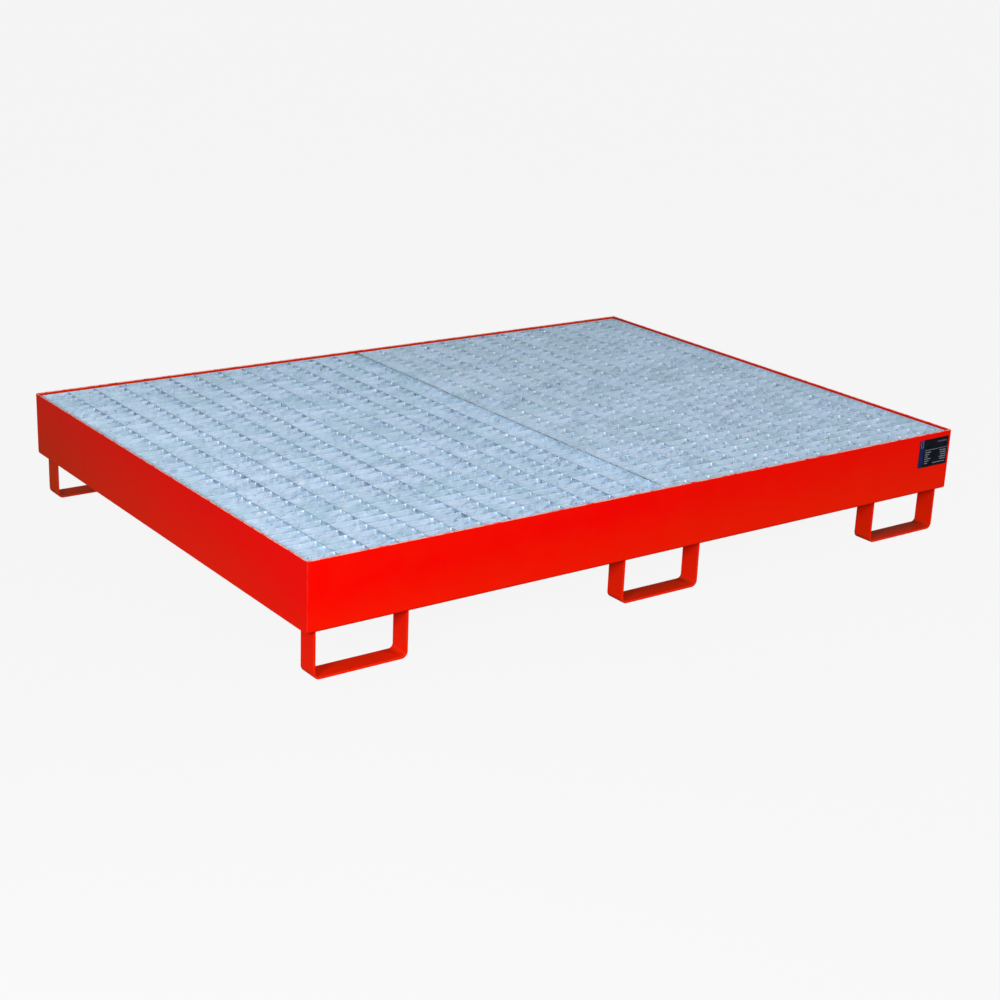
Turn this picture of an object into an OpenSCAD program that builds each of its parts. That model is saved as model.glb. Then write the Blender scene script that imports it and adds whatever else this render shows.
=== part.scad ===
// Spill containment pallet: a shallow steel tray on six bent feet, with two lift-out
// gratings side by side along its length.
// Origin: on the floor, under the middle of the tray. +X runs along the tray's length,
// +Y from the front long wall to the rear one, +Z up.

/* [Tray] */
// Outside length of the tray
tray_length = 1800; // [1400:10:2400]
// Outside width of the tray, front to rear
tray_width = 1300; // [1000:10:1600]
// Outside height of the walls
wall_height = 150; // [120:5:300]
// Thickness of the sheet
sheet = 3; // [2:0.5:4]
// Outside radius of the fold between the floor and the long walls
fold_radius = 6; // [5:0.5:12]

/* [Feet] */
// Free height under the tray for lift truck forks
fork_height = 100; // [80:5:140]
// Outside width of one foot, along the tray
foot_width = 218; // [120:2:300]
// Width of the flat bar that the feet are bent from
foot_bar_width = 50; // [30:5:80]
// Thickness of that flat bar
foot_bar = 5; // [4:1:8]
// Outside radius of the foot's two bends
foot_bend = 15; // [10:1:25]
// Distance from the tray's end to the outer feet
foot_end_inset = 21; // [0:1:200]
// Distance from the long walls' outer faces to the feet
foot_side_inset = 10; // [0:1:100]

/* [Gratings] */
// Height of the rim above the top of the gratings
rim_height = 5; // [2:1:20]
// Depth of the bearing bars and the banding bars
grating_depth = 30; // [20:5:40]
// Thickness of a bearing bar
bearing_bar = 2; // [2:0.5:5]
// Distance between bearing bars
bearing_pitch = 33.333; // [20:0.001:60]
// Depth of a cross bar
cross_bar_depth = 10; // [6:1:20]
// Thickness of a cross bar
cross_bar = 2; // [1.5:0.5:4]
// Number of bays between cross bars along one grating
cross_bays = 13; // [6:1:26]
// Thickness of the banding bars around a grating
banding = 3; // [2:0.5:5]
// Play between a grating and the tray's walls
wall_play = 5; // [2:1:10]
// Play between the two gratings
seam_play = 6; // [2:1:10]

/* [Supports] */
// Leg of the support angles inside the walls
angle_leg = 30; // [20:5:40]
// Thickness of the support angles
angle_sheet = 3; // [3:1:5]
// Width of the flange under the seam
flange_width = 60; // [40:5:100]
// Thickness of the flange under the seam
flange_sheet = 5; // [3:1:8]
// Thickness of the web under the flange
web_sheet = 5; // [3:1:8]
// Gap at each end of the web, where liquid passes from one half to the other
web_end_gap = 60; // [30:5:150]

/* [Data plate] */
// Width of the data plate
plate_width = 100; // [50:1:120]
// Height of the data plate
plate_height = 70; // [40:1:100]
// Thickness of the data plate
plate_sheet = 0.8; // [0.5:0.1:2]
// Distance from the tray's right end to the plate
plate_end_inset = 8; // [5:1:100]
// Distance from the rim to the plate
plate_rim_inset = 14; // [5:1:60]

/* [Hidden] */

$fn = 64;
coat = "red";
zinc = "lightsteelblue";

// Tray
half_length = tray_length / 2;
half_width = tray_width / 2;
tray_base = fork_height + foot_bar;
rim_z = tray_base + wall_height;
floor_z = tray_base + sheet;
inner_half_length = half_length - sheet;
inner_half_width = half_width - sheet;

// Feet: centres of the left, middle and right ones, and of the front row
foot_height = tray_base;
outer_foot_x = half_length - foot_end_inset - foot_width / 2;
front_foot_y = -half_width + foot_side_inset + foot_bar_width / 2;

// Gratings
grating_top = rim_z - rim_height;
grating_base = grating_top - grating_depth;
panel_width = inner_half_length - wall_play - seam_play / 2;
panel_depth = 2 * (inner_half_width - wall_play);
left_panel_x = -(inner_half_length - wall_play + seam_play / 2) / 2;
bearing_length = panel_width - 2 * banding;
cross_length = panel_depth - 2 * banding;
cross_pitch = (panel_width - banding) / cross_bays;
bearing_count = 2 * floor((panel_depth / 2 - banding) / bearing_pitch);

// A plate that stands on its lower edge, centred on x and y
module bar(length_x, length_y, height) {
    translate([-length_x / 2, -length_y / 2, 0])
        cube([length_x, length_y, height]);
}

// Outline of a channel that opens upwards, with round outside corners at the bottom
module channel_outline(width, height, radius) {
    union() {
        translate([-width / 2, radius]) square([width, height - radius]);
        translate([-width / 2 + radius, 0]) square([width - 2 * radius, height]);
        for (side = [-1, 1])
            translate([side * (width / 2 - radius), radius]) circle(r = radius);
    }
}

// A bent channel, extruded along y and centred on x and y
module channel(width, height, length, wall, radius) {
    translate([0, length / 2, 0])
        rotate([90, 0, 0])
            linear_extrude(height = length)
                difference() {
                    channel_outline(width, height, radius);
                    translate([0, wall])
                        channel_outline(width - 2 * wall, height, radius - wall);
                }
}

// Floor and both long walls, folded from one sheet
module tray_sheet() {
    color(coat)
        translate([0, 0, tray_base])
            rotate([0, 0, 90])
                channel(tray_width, wall_height, 2 * inner_half_length, sheet, fold_radius);
}

// End wall, cut to the outline of the folded sheet that it closes
module end_wall(side) {
    color(coat)
        translate([side * (half_length - sheet / 2) + sheet / 2, 0, tray_base])
            rotate([90, 0, -90])
                linear_extrude(height = sheet)
                    channel_outline(tray_width, wall_height, fold_radius);
}

// Support angle along x, with its flat leg on top and its other leg against a wall at -y
module ledge(length) {
    color(coat)
        translate([-length / 2, 0, grating_base])
            rotate([90, 0, 90])
                linear_extrude(height = length)
                    polygon([
                        [0, 0], [angle_leg, 0], [angle_leg, -angle_sheet],
                        [angle_sheet, -angle_sheet], [angle_sheet, -angle_leg], [0, -angle_leg]
                    ]);
}

module long_ledge(turn) {
    rotate([0, 0, turn])
        translate([0, -inner_half_width, 0])
            ledge(2 * inner_half_length);
}

module end_ledge(turn) {
    rotate([0, 0, turn])
        translate([0, -inner_half_length, 0])
            ledge(2 * (inner_half_width - angle_leg));
}

// Upright plate under the seam, open at both ends for the liquid
module beam_web() {
    color(coat)
        translate([0, 0, floor_z])
            bar(web_sheet, 2 * (inner_half_width - web_end_gap),
                grating_base - flange_sheet - floor_z);
}

// Flat bar on the web, between the long ledges
module beam_flange() {
    color(coat)
        translate([0, 0, grating_base - flange_sheet])
            bar(flange_width, 2 * (inner_half_width - angle_leg), flange_sheet);
}

// Foot: flat bar bent to a U and welded under the tray. Column is -1, 0 or 1 from the left,
// and row is -1 at the front or 1 at the rear.
module foot(column, row) {
    color(coat)
        translate([column * outer_foot_x, -row * front_foot_y, 0])
            channel(foot_width, foot_height, foot_bar_width, foot_bar, foot_bend);
}

// Printed plate on the front wall
module data_plate() {
    color("black")
        translate([half_length - plate_end_inset - plate_width, -half_width - plate_sheet,
                   rim_z - plate_rim_inset - plate_height])
            cube([plate_width, plate_sheet, plate_height]);
}

// Places what is modelled around a grating's centre; side is -1 for the left grating
module panel(side) {
    color(zinc)
        translate([-side * left_panel_x, 0, grating_base])
            children();
}

// Flat bars along x, notched along their top edge for the cross bars
module bearing_bars(side) {
    panel(side)
        for (i = [0 : bearing_count - 1])
            translate([0, (i - (bearing_count - 1) / 2) * bearing_pitch, 0])
                difference() {
                    bar(bearing_length, bearing_bar, grating_depth);
                    for (k = [1 : cross_bays - 1])
                        translate([(k - cross_bays / 2) * cross_pitch, 0,
                                   grating_depth - cross_bar_depth])
                            bar(cross_bar, 2 * bearing_bar, 2 * cross_bar_depth);
                }
}

// Flat bars along y, pressed flush into the notches
module cross_bars(side) {
    panel(side)
        for (k = [1 : cross_bays - 1])
            translate([(k - cross_bays / 2) * cross_pitch, 0, grating_depth - cross_bar_depth])
                bar(cross_bar, cross_length, cross_bar_depth);
}

// Edge bar along x, between the two along y; row is -1 at the front
module row_banding(side, row) {
    panel(side)
        translate([0, row * (panel_depth - banding) / 2, 0])
            bar(bearing_length, banding, grating_depth);
}

// Edge bar along y; edge is -1 on the grating's left
module end_banding(side, edge) {
    panel(side)
        translate([edge * (panel_width - banding) / 2, 0, 0])
            bar(banding, panel_depth, grating_depth);
}

tray_sheet();
end_wall(-1);  // left_end_wall
end_wall(1);  // right_end_wall
long_ledge(0);  // front_ledge
long_ledge(180);  // rear_ledge
end_ledge(-90);  // left_ledge
end_ledge(90);  // right_ledge
beam_web();
beam_flange();
foot(-1, -1);  // foot_front_left
foot(0, -1);  // foot_front_middle
foot(1, -1);  // foot_front_right
foot(-1, 1);  // foot_rear_left
foot(0, 1);  // foot_rear_middle
foot(1, 1);  // foot_rear_right
data_plate();
bearing_bars(-1);  // left_bearing_bars
cross_bars(-1);  // left_cross_bars
row_banding(-1, -1);  // left_front_banding
row_banding(-1, 1);  // left_rear_banding
end_banding(-1, -1);  // left_outer_banding
end_banding(-1, 1);  // left_seam_banding
bearing_bars(1);  // right_bearing_bars
cross_bars(1);  // right_cross_bars
row_banding(1, -1);  // right_front_banding
row_banding(1, 1);  // right_rear_banding
end_banding(1, 1);  // right_outer_banding
end_banding(1, -1);  // right_seam_banding
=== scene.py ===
# %% [markdown]
# # A spill containment pallet
# A shallow tray of red steel sheet stands on six feet bent from flat bar, and two
# galvanised gratings lie in it side by side. Drums stand on the gratings, and what leaks
# from them runs through into the tray, which is the sump.
#
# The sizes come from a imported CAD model, the frame. This script makes the surfaces that
# a flat CAD solid lacks: rounded sheet edges, weld beads, zinc fillets and the finishes.

# %% Load the frame
import math

import bmesh
import bpy
from mathutils import Matrix, Vector


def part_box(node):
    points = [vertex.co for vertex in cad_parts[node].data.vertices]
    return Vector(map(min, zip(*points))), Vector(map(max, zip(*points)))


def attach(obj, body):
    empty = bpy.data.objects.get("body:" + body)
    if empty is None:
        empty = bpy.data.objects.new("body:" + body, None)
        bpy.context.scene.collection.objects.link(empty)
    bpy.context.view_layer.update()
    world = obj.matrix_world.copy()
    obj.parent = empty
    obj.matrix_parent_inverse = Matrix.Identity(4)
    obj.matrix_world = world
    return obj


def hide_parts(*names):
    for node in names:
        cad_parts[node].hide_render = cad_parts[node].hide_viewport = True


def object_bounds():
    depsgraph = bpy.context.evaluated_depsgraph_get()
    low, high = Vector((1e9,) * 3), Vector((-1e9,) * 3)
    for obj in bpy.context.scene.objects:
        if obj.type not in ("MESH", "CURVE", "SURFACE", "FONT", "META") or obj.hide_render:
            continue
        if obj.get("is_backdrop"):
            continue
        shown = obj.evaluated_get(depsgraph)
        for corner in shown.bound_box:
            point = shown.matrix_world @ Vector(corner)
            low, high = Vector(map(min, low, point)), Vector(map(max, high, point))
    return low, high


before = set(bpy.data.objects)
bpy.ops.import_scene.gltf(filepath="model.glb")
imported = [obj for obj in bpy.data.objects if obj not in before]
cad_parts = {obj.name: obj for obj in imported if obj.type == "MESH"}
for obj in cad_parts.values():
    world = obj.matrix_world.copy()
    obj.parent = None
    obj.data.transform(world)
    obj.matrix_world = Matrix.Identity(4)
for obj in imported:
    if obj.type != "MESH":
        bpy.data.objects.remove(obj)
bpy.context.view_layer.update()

MM = 0.001
TRAY, LEFT, RIGHT = "sump_tray", "left_grating", "right_grating"

# %% [markdown]
# ## Sizes
# Every size is read from the frame's own boxes, so that this script follows the CAD
# model when a dimension changes there. Only what a box can't tell is named here: the
# thickness of the sheet's rounded edges, the size of the weld beads and the like.

# %% Read the sizes from the frame
end_low, end_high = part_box("left_end_wall")
ledge_low, ledge_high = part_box("front_ledge")
flange_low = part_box("beam_flange")[0]
web_low, web_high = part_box("beam_web")
panel_low, panel_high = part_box("left_outer_banding")

sheet = end_high.x - end_low.x
tray_half_length = -end_low.x
tray_half_width = end_high.y
inner_half_length = tray_half_length - sheet
inner_half_width = tray_half_width - sheet
tray_base = end_low.z
rim_z = end_high.z
floor_z = tray_base + sheet
grating_base = panel_low.z
grating_top = panel_high.z
fold_radius = 2 * sheet
foot_bar = 5 * MM
foot_bend = 3 * foot_bar
ledge_sheet = 3 * MM
bar_sheet = 2 * MM
banding_sheet = 3 * MM
edge_round = 0.8 * MM
print("sheet", round(sheet / MM, 2), "mm, rim at", round(rim_z / MM, 1), "mm")

# %% Read the gratings' bars from the frame
def islands(name, axis):
    """Centres, along one axis, of the separate bars in a CAD node, in order."""
    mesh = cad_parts[name].data
    values = sorted({round(vertex.co[axis], 5) for vertex in mesh.vertices})
    widest_bar = 2.5 * MM
    centres, start, last = [], values[0], values[0]
    for value in values[1:] + [values[-1] + 1]:
        if value - start > widest_bar:
            centres.append((start + last) / 2)
            start = value
        last = value
    return centres


bearing_rows = islands("left_bearing_bars", 1)
left_columns = islands("left_cross_bars", 0)
right_columns = islands("right_cross_bars", 0)
bearing_pitch = (bearing_rows[-1] - bearing_rows[0]) / (len(bearing_rows) - 1)
cross_pitch = (left_columns[-1] - left_columns[0]) / (len(left_columns) - 1)
print(len(bearing_rows), "bearing bars at", round(bearing_pitch / MM, 2), "mm and",
      len(left_columns), "cross bars at", round(cross_pitch / MM, 2), "mm")

# %% [markdown]
# ## Node helpers
# Shader trees and geometry trees are built the same way: add a node, set its options,
# then fill each input with a number or with the output of another node. One helper does
# that for both, and keeps the recipes below short enough to read.


# %% Helpers that build node trees
def node(tree, kind, inputs=None, **options):
    """Adds a node. An input's value is a constant, or an output socket to link from."""
    made = tree.nodes.new(kind)
    for option, value in options.items():
        setattr(made, option, value)
    for key, value in (inputs or {}).items():
        if isinstance(value, bpy.types.NodeSocket):
            tree.links.new(value, made.inputs[key])
        else:
            made.inputs[key].default_value = value
    return made


def math_node(tree, operation, a, b=0.0, c=0.0):
    """The output of one Math node."""
    return node(tree, "ShaderNodeMath", {0: a, 1: b, 2: c}, operation=operation).outputs[0]


def multiply(tree, *values):
    """The product of two or more values."""
    product = values[0]
    for value in values[1:]:
        product = math_node(tree, "MULTIPLY", product, value)
    return product


def map_range(tree, value, start, end, low=0.0, high=1.0):
    """Maps start to end onto low to high, and holds it at both ends."""
    return node(tree, "ShaderNodeMapRange", {
        "Value": value, "From Min": start, "From Max": end,
        "To Min": low, "To Max": high}).outputs["Result"]


def mix_colour(tree, factor, a, b):
    """The output of a colour mix."""
    return node(tree, "ShaderNodeMix", {0: factor, 6: a, 7: b}, data_type="RGBA").outputs[2]


def new_group(name, kind, inputs, outputs):
    """A node group with named sockets: each is (name, socket type, default value)."""
    tree = bpy.data.node_groups.new(name, kind)
    for label, socket, default in inputs:
        made = tree.interface.new_socket(label, in_out="INPUT", socket_type=socket)
        if default is not None:
            made.default_value = default
    for label, socket in outputs:
        tree.interface.new_socket(label, in_out="OUTPUT", socket_type=socket)
    return tree, node(tree, "NodeGroupInput"), node(tree, "NodeGroupOutput")


def place_group(tree, group, **values):
    """Puts a shader group into a material's tree. An underscore stands for a space."""
    inputs = {key.replace("_", " "): value for key, value in values.items()}
    return node(tree, "ShaderNodeGroup", inputs, node_tree=group)


def place_of(tree):
    """The place on the object that is being shaded."""
    return node(tree, "ShaderNodeTexCoord").outputs["Object"]


def axes_of(tree):
    """The same place as separate X, Y and Z."""
    return node(tree, "ShaderNodeSeparateXYZ", {0: place_of(tree)}).outputs


FLOAT, VECTOR = "NodeSocketFloat", "NodeSocketVector"
print("node helpers ready")

# %% [markdown]
# ## Shared effects: clouds, worn and highlit edges, and spangle
# What a finish is made of is built once, as a shader group, and placed in each material
# with its own values.
#
# *Clouds* is a soft wandering value, for colour that is never quite even. Every finish
# here uses it.
#
# *Worn and highlit edges* is a mask for the rim's narrow top, where it paints partly wear
# and partly a painted highlight along the rounded rim, and, much fainter, for wear on every
# rounded edge. It reads an attribute that the mesh helpers write on each rounded strip, and
# breaks it up with noise. Curvature could be measured in the shader instead, but a stored
# attribute is exact, bakes well and costs nothing.
#
# *Spangle* is the crystal pattern of zinc: flat cells that each catch the light a
# little differently, which a Voronoi texture gives directly.


# %% Shader group: clouds
def make_clouds():
    tree, entry, result = new_group(
        "clouds", "ShaderNodeTree",
        [("Scale", FLOAT, 4.0), ("Detail", FLOAT, 3.0), ("Low", FLOAT, 0.35), ("High", FLOAT, 0.65)],
        [("Value", FLOAT)])
    noise = node(tree, "ShaderNodeTexNoise", {
        "Vector": place_of(tree), "Scale": entry.outputs["Scale"],
        "Detail": entry.outputs["Detail"]})
    spread = node(tree, "ShaderNodeMapRange", {
        "Value": noise.outputs["Fac"], "From Min": entry.outputs["Low"],
        "From Max": entry.outputs["High"]}, interpolation_type="SMOOTHSTEP")
    tree.links.new(spread.outputs["Result"], result.inputs["Value"])
    return tree


clouds = make_clouds()
print("group", clouds.name)


# %% Shader group: worn and highlit edges
def make_worn_and_highlit_edges():
    tree, entry, result = new_group(
        "worn_and_highlit_edges", "ShaderNodeTree",
        [("Scale", FLOAT, 60.0), ("Amount", FLOAT, 0.5), ("Top", FLOAT, 0.25)],
        [("Mask", FLOAT)])
    edge = node(tree, "ShaderNodeAttribute", attribute_name="edge").outputs["Fac"]
    below_top = math_node(tree, "SUBTRACT", entry.outputs["Top"], axes_of(tree)["Z"])
    # On the rim's top this mask paints partly wear and partly a painted highlight along the rounded
    # rim.
    on_top = map_range(tree, below_top, edge_round, 2 * edge_round, 1.0, 0.0)
    edge_share, softness = 0.03, 0.2
    weight = math_node(tree, "MAXIMUM", multiply(tree, edge, edge_share), on_top)
    noise = node(tree, "ShaderNodeTexNoise", {
        "Vector": place_of(tree), "Scale": entry.outputs["Scale"], "Detail": 4.0,
        "Roughness": 0.65})
    threshold = math_node(tree, "SUBTRACT", 1.0, entry.outputs["Amount"])
    spread = map_range(
        tree, noise.outputs["Fac"], threshold, math_node(tree, "ADD", threshold, softness))
    tree.links.new(multiply(tree, spread, weight), result.inputs["Mask"])
    return tree


worn_and_highlit_edges = make_worn_and_highlit_edges()
print("group", worn_and_highlit_edges.name)


# %% Shader group: spangle
def make_spangle():
    tree, entry, result = new_group(
        "spangle", "ShaderNodeTree", [("Scale", FLOAT, 90.0)],
        [("Tone", FLOAT), ("Tint", FLOAT), ("Height", FLOAT)])
    place = place_of(tree)
    warp = node(tree, "ShaderNodeTexNoise", {"Vector": place, "Scale": entry.outputs["Scale"]})
    pull = (6 * MM,) * 3
    warped = node(tree, "ShaderNodeVectorMath", {
        0: warp.outputs["Color"], 1: pull, 2: place}, operation="MULTIPLY_ADD")
    cells = node(tree, "ShaderNodeTexVoronoi", {
        "Vector": warped.outputs[0], "Scale": entry.outputs["Scale"]})
    parts = node(tree, "ShaderNodeSeparateColor", {"Color": cells.outputs["Color"]})
    tree.links.new(parts.outputs[0], result.inputs["Tone"])
    tree.links.new(parts.outputs[1], result.inputs["Tint"])
    tree.links.new(parts.outputs[2], result.inputs["Height"])
    return tree


spangle = make_spangle()
print("group", spangle.name)

# %% [markdown]
# ## Two kinds of painted shade
# Both are painted shade, made as masks from the place on the object so that they stay put
# when the model turns. The inside floor of each foot, under the tray, is painted darker,
# most of all at the inner side and towards the right. And the walls' inner faces are painted
# darker beside the gratings, in the gap between wall and panel.


# %% Shader group: painted shade on the foot plates
def make_foot_plate_shade():
    tree, entry, result = new_group(
        "foot_plate_shade", "ShaderNodeTree", [("Amount", FLOAT, 1.0)], [("Mask", FLOAT)])
    # Painted shade: the top of each foot's lower bar is darkened under the tray, more inwards and
    # towards the right.
    axis = axes_of(tree)
    on_bar = map_range(tree, axis["Z"], foot_bar - 0.6 * MM, foot_bar - 0.2 * MM)
    below_bend = map_range(tree, axis["Z"], 2.5 * foot_bar, 1.2 * foot_bar)
    left_foot, right_foot = -0.8, 0.6
    along = map_range(tree, axis["X"], left_foot, right_foot, 0.22, 0.85)
    outer_side, inner_side = tray_half_width - 10 * MM, tray_half_width - 45 * MM
    inwards = map_range(tree, math_node(tree, "ABSOLUTE", axis["Y"]),
                        outer_side, inner_side, 0.3, 1.0)
    mask = multiply(tree, on_bar, below_bend, along, inwards, entry.outputs["Amount"])
    tree.links.new(mask, result.inputs["Mask"])
    return tree


foot_plate_shade = make_foot_plate_shade()
print("group", foot_plate_shade.name)


# %% Shader group: painted shade beside the gratings
def make_wall_gap_shade():
    tree, entry, result = new_group(
        "wall_gap_shade", "ShaderNodeTree", [("Amount", FLOAT, 1.0)], [("Mask", FLOAT)])
    # Painted shade on the walls' inner faces, below the rim and above the gratings' base, in the gap
    # beside the panels.
    axis = axes_of(tree)
    distances = []
    for name, inner_face in (("X", inner_half_length), ("Y", inner_half_width)):
        outwards = math_node(
            tree, "SUBTRACT", math_node(tree, "ABSOLUTE", axis[name]), inner_face)
        distances.append(math_node(tree, "ABSOLUTE", outwards))
    nearest = math_node(tree, "MINIMUM", *distances)
    on_face = map_range(tree, nearest, 0.7 * MM, 0.2 * MM)
    below_rim = map_range(tree, axis["Z"], rim_z - 1.5 * MM, rim_z - 3 * MM)
    beside_grating = math_node(tree, "GREATER_THAN", axis["Z"], grating_base)
    mask = multiply(tree, on_face, below_rim, beside_grating, entry.outputs["Amount"])
    tree.links.new(mask, result.inputs["Mask"])
    return tree


wall_gap_shade = make_wall_gap_shade()
print("group", wall_gap_shade.name)

# %% [markdown]
# ## Finish: red powder coat
# Powder coat is baked plastic paint: an even, saturated colour with a faint orange-peel
# surface and a soft sheen. A paler, drier red is painted in patches on the rim's top: partly
# wear, where gratings and drums knock the coat thin, and partly a painted highlight along the
# rounded rim. The colour drifts a little across a large wall, is warmer down at the feet and
# is painted darker towards the rear as painted shade. Dust dulls it in places, so the
# roughness follows its own clouds.


# %% Helpers that start a material
def new_material(name):
    """A material with its Principled BSDF, ready for nodes."""
    made = bpy.data.materials.new(name)
    made.use_nodes = True
    return made, made.node_tree, made.node_tree.nodes["Principled BSDF"]


def bump(tree, shader, height, distance):
    """Feeds a height into the shader's normal, with its relief in metres."""
    made = node(tree, "ShaderNodeBump", {"Height": height, "Distance": distance})
    tree.links.new(made.outputs["Normal"], shader.inputs["Normal"])


# %% Colours of the powder coat
reds = {
    "cool": (0.82, 0.0008, 0.0001, 1),
    "cool_drift": (0.79, 0.0020, 0.0001, 1),
    "warm": (0.80, 0.0240, 0.0006, 1),
    # darker to the rear: painted shade
    "warm_rear_shaded": (0.56, 0.0340, 0.0004, 1),
    "dusty": (0.66, 0.04, 0.01, 1),
    # painted shade on the foot plates under the tray
    "foot_shaded": (0.19, 0.030, 0.009, 1),
    # painted shade on the walls' inner faces beside the gratings
    "gap_shaded": (0.24, 0.020, 0.004, 1),
    # paler red on the rim: partly wear, partly a painted highlight
    "wear_and_highlight": (0.88, 0.42, 0.33, 1),
}
warm_slope = (0.14, 0.42, -3.0)
warm_start, warm_end = -0.95, 0.15
rear_shade_start = -0.1
print(len(reds), "reds")


# %% Make the powder coat
def coat_red(tree, place):
    """The clean coat's colour: cool on the front, warmer at the feet, and painted darker to the rear
    as painted shade.
    """
    drift = place_group(tree, clouds, Scale=2.2, Detail=2.0).outputs["Value"]
    across = node(tree, "ShaderNodeVectorMath", {0: place, 1: warm_slope},
                  operation="DOT_PRODUCT").outputs["Value"]
    warmth = map_range(tree, across, warm_start, warm_end)
    # Painted shade: the warm red is painted darker towards the rear.
    rear_shade = map_range(tree, axes_of(tree)["Y"], rear_shade_start, tray_half_width)
    cool_red = mix_colour(tree, drift, reds["cool"], reds["cool_drift"])
    warm_red = mix_colour(tree, rear_shade, reds["warm"], reds["warm_rear_shaded"])
    return mix_colour(tree, warmth, cool_red, warm_red)


def make_coat():
    made, tree, shader = new_material("red_powder_coat")
    place = place_of(tree)
    dust = place_group(tree, clouds, Scale=14.0, Detail=5.0, Low=0.3, High=0.8).outputs["Value"]
    # Painted shade on the foot plates under the tray.
    foot_shade = place_group(tree, foot_plate_shade, Amount=1.0).outputs["Mask"]
    # Painted shade in the gap between the walls and the gratings.
    marks = place_group(tree, wall_gap_shade, Amount=0.3).outputs["Mask"]
    # The rim's paler red is partly wear and partly a painted highlight.
    wear_and_highlight = place_group(tree, worn_and_highlit_edges, Scale=70.0, Amount=0.66, Top=rim_z).outputs["Mask"]
    colour = coat_red(tree, place)
    for mask, red in ((multiply(tree, dust, 0.05), "dusty"), (foot_shade, "foot_shaded"),
                      (marks, "gap_shaded"), (wear_and_highlight, "wear_and_highlight")):
        colour = mix_colour(tree, mask, colour, reds[red])
    tree.links.new(colour, shader.inputs["Base Color"])
    rough = math_node(tree, "MULTIPLY_ADD", dust, 0.14, 0.38)
    tree.links.new(math_node(tree, "MULTIPLY_ADD", wear_and_highlight, 0.2, rough), shader.inputs["Roughness"])
    shader.inputs["Specular IOR Level"].default_value = 0.05
    shader.inputs["Specular Tint"].default_value = (1.0, 0.42, 0.12, 1)
    peel = node(tree, "ShaderNodeTexNoise", {"Vector": place, "Scale": 420.0, "Detail": 2.0})
    bump(tree, shader, peel.outputs["Fac"], 0.20 * MM)
    return made


coat = make_coat()
print("material", coat.name)

# %% [markdown]
# ## Finish: hot-dip zinc
# The gratings are dipped whole in molten zinc. The skin is a pale blue grey with a
# frozen crystal pattern, uneven from bar to bar. It is a metal under a dull oxide, so the
# shader is only partly metallic. A stored attribute, *tone*, gives each bar a brightness
# of its own; tones above one, and small glints, mix towards near-white zinc as a painted
# highlight. A second attribute paints light and shade on the bars' narrow tops: a painted
# highlight on the bearing bars, painted shade on the cross bars. The faces are painted
# paler a little below the top, as painted light where shade falls between the bars. The
# two panels came out of the bath a little different, so each has its own pair of colours.


# %% Tones of the zinc
tone_shares = {"bay": 0.22, "crystals": 0.32, "streaks": 0.26, "marks": -0.38}
# Near-white zinc for painted highlights.
painted_highlight_white = (0.86, 0.93, 1.0, 1)


def zinc_tone(tree, place, first_column):
    """Brightness of a bar by its own tone, its bay and painted light at depth, and how far a painted
    highlight covers it.
    """
    bar_tone = node(tree, "ShaderNodeAttribute", attribute_name="tone").outputs["Fac"]
    # Painted light and shade on the bars' tops: lighter on the bearing bars, darker on the cross bars.
    crown = node(tree, "ShaderNodeAttribute", attribute_name="crown").outputs["Fac"]
    own = math_node(tree, "ADD", bar_tone, crown)
    # Tones above one become a painted highlight.
    painted_highlight = map_range(tree, own, 1.0, 2.0)
    corner = (first_column, bearing_rows[0] - bearing_pitch / 2, 0.0)
    from_corner = node(tree, "ShaderNodeVectorMath", {0: place, 1: corner}, operation="SUBTRACT")
    bay = node(tree, "ShaderNodeVectorMath", {
        0: from_corner.outputs[0], 1: (cross_pitch, bearing_pitch, 1.0)}, operation="SNAP")
    bay_tone = node(tree, "ShaderNodeTexWhiteNoise", {"Vector": bay.outputs[0]}).outputs["Value"]
    depth = math_node(tree, "SUBTRACT", grating_top, axes_of(tree)["Z"])
    # Painted light: the faces are painted paler a little below the top, where shade falls between the
    # bars.
    painted_depth_light = map_range(tree, depth, 2 * MM, 12 * MM, -0.06, 0.30)
    tone = math_node(tree, "MULTIPLY_ADD", bay_tone, tone_shares["bay"],
                     math_node(tree, "ADD", own, painted_depth_light))
    return tone, painted_highlight


print("tone shares", tone_shares)


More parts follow.
